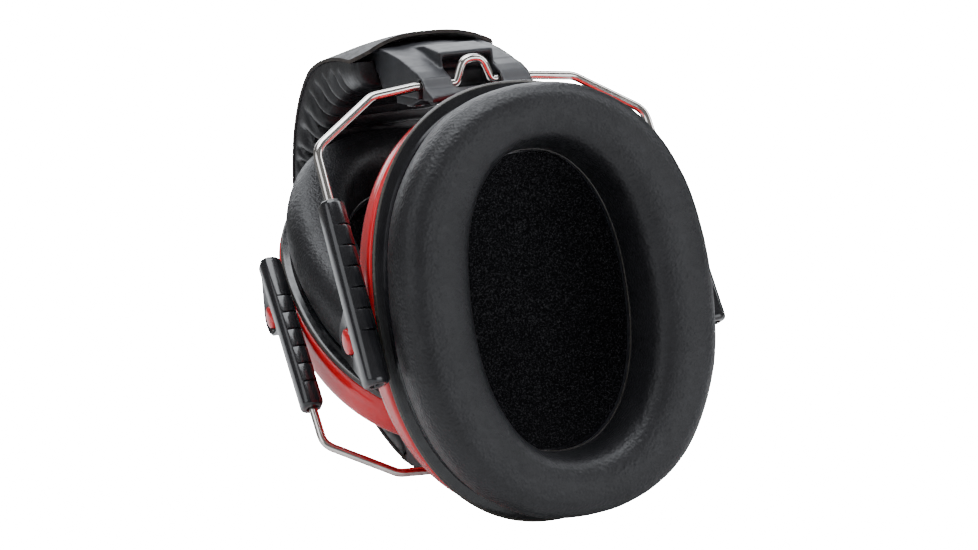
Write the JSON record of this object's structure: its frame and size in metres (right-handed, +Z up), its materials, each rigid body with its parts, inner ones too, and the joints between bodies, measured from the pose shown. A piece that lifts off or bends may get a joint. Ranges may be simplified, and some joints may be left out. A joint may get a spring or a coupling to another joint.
{
  "type": "earmuff hearing protector",
  "caption": "Folding earmuff hearing protector: padded headband, wire yokes that fold into it, sliders and two cushioned ear cups, shown folded.",
  "frame": {"origin": "middle of the footprint, on the surface that the folded muff lies on", "axes": "+X across the headband towards its rear edge, +Y towards the crown of the band, +Z up towards the left end of the band"},
  "size_m": [0.0908, 0.1438, 0.114],
  "materials": {
    "band_leatherette": "matt grained leatherette",
    "band_film": "satin wrinkled film",
    "cushion_film": "satin, fine leather grain",
    "foam": "open-cell foam, dark grey",
    "gloss_black": "glossy moulded plastic",
    "satin_black": "satin moulded plastic",
    "gloss_red": "glossy moulded plastic",
    "wire": "bright drawn stainless wire",
    "spring_steel": "flat spring strip",
    "screw_steel": "plated screw"
  },
  "bodies": {
    "headband": {"headband_cover": "band_leatherette", "headband_spring": "spring_steel", "headband_pad": "band_film", "headband_foam": "foam", "left_hinge_housing": "satin_black", "left_hinge_retainer": "satin_black", "left_hinge_screw_front": "screw_steel", "left_hinge_screw_rear": "screw_steel", "right_hinge_housing": "satin_black", "right_hinge_retainer": "satin_black", "right_hinge_screw_front": "screw_steel", "right_hinge_screw_rear": "screw_steel"},
    "left_yoke": {"left_yoke_wire": "wire"},
    "left_front_slider": {"left_slider_front": "gloss_black"},
    "left_rear_slider": {"left_slider_rear": "gloss_black"},
    "left_cup": {"left_cup_shell": "gloss_red", "left_cup_plate": "gloss_black", "left_cup_foam": "foam", "left_cushion_ring": "satin_black", "left_cushion_foam": "foam", "left_cushion_cover": "cushion_film", "left_pivot_stud_front": "gloss_red", "left_pivot_stud_rear": "gloss_red"},
    "right_yoke": {"right_yoke_wire": "wire"},
    "right_front_slider": {"right_slider_front": "gloss_black"},
    "right_rear_slider": {"right_slider_rear": "gloss_black"},
    "right_cup": {"right_cup_shell": "gloss_red", "right_cup_plate": "gloss_black", "right_cup_foam": "foam", "right_cushion_ring": "satin_black", "right_cushion_foam": "foam", "right_cushion_cover": "cushion_film", "right_pivot_stud_front": "gloss_red", "right_pivot_stud_rear": "gloss_red"}
  },
  "joints": [
    {"name": "left_fold", "type": "hinge", "parent": "headband", "child": "left_yoke", "pos_m": [0, -0.02581, 0.10179], "axis": [1, 0, 0], "range_deg": [-68, 0]},
    {"name": "left_slide", "type": "slide", "parent": "left_yoke", "child": "left_front_slider", "axis": [0, -0.421, -0.907], "range_m": [-0.0001, 0.02]},
    {"name": "left_rear_slide", "type": "slide", "parent": "left_yoke", "child": "left_rear_slider", "axis": [0, -0.421, -0.907], "range_m": [-0.0001, 0.02]},
    {"name": "left_cup_tilt", "type": "hinge", "parent": "left_front_slider", "child": "left_cup", "pos_m": [0, -0.04349, 0.04754], "axis": [1, 0, 0], "range_deg": [-2.5, 0.2]},
    {"name": "right_fold", "type": "hinge", "parent": "headband", "child": "right_yoke", "pos_m": [0, -0.01534, 0.00697], "axis": [-1, 0, 0], "range_deg": [-0.2, 1]},
    {"name": "right_slide", "type": "slide", "parent": "right_yoke", "child": "right_front_slider", "axis": [0, 0.5764, 0.8171], "range_m": [-0.0002, 0.0003]},
    {"name": "right_rear_slide", "type": "slide", "parent": "right_yoke", "child": "right_rear_slider", "axis": [0, 0.5764, 0.8171], "range_m": [-0.0002, 0.0003]},
    {"name": "right_cup_tilt", "type": "hinge", "parent": "right_front_slider", "child": "right_cup", "pos_m": [0, 0.02094, 0.0466], "axis": [-1, 0, 0], "range_deg": [-0.5, 0.1]}
  ],
  "couplings": [
    {"joint": "left_rear_slide", "follows": "left_slide", "ratio": 1},
    {"joint": "right_rear_slide", "follows": "right_slide", "ratio": 1}
  ]
}
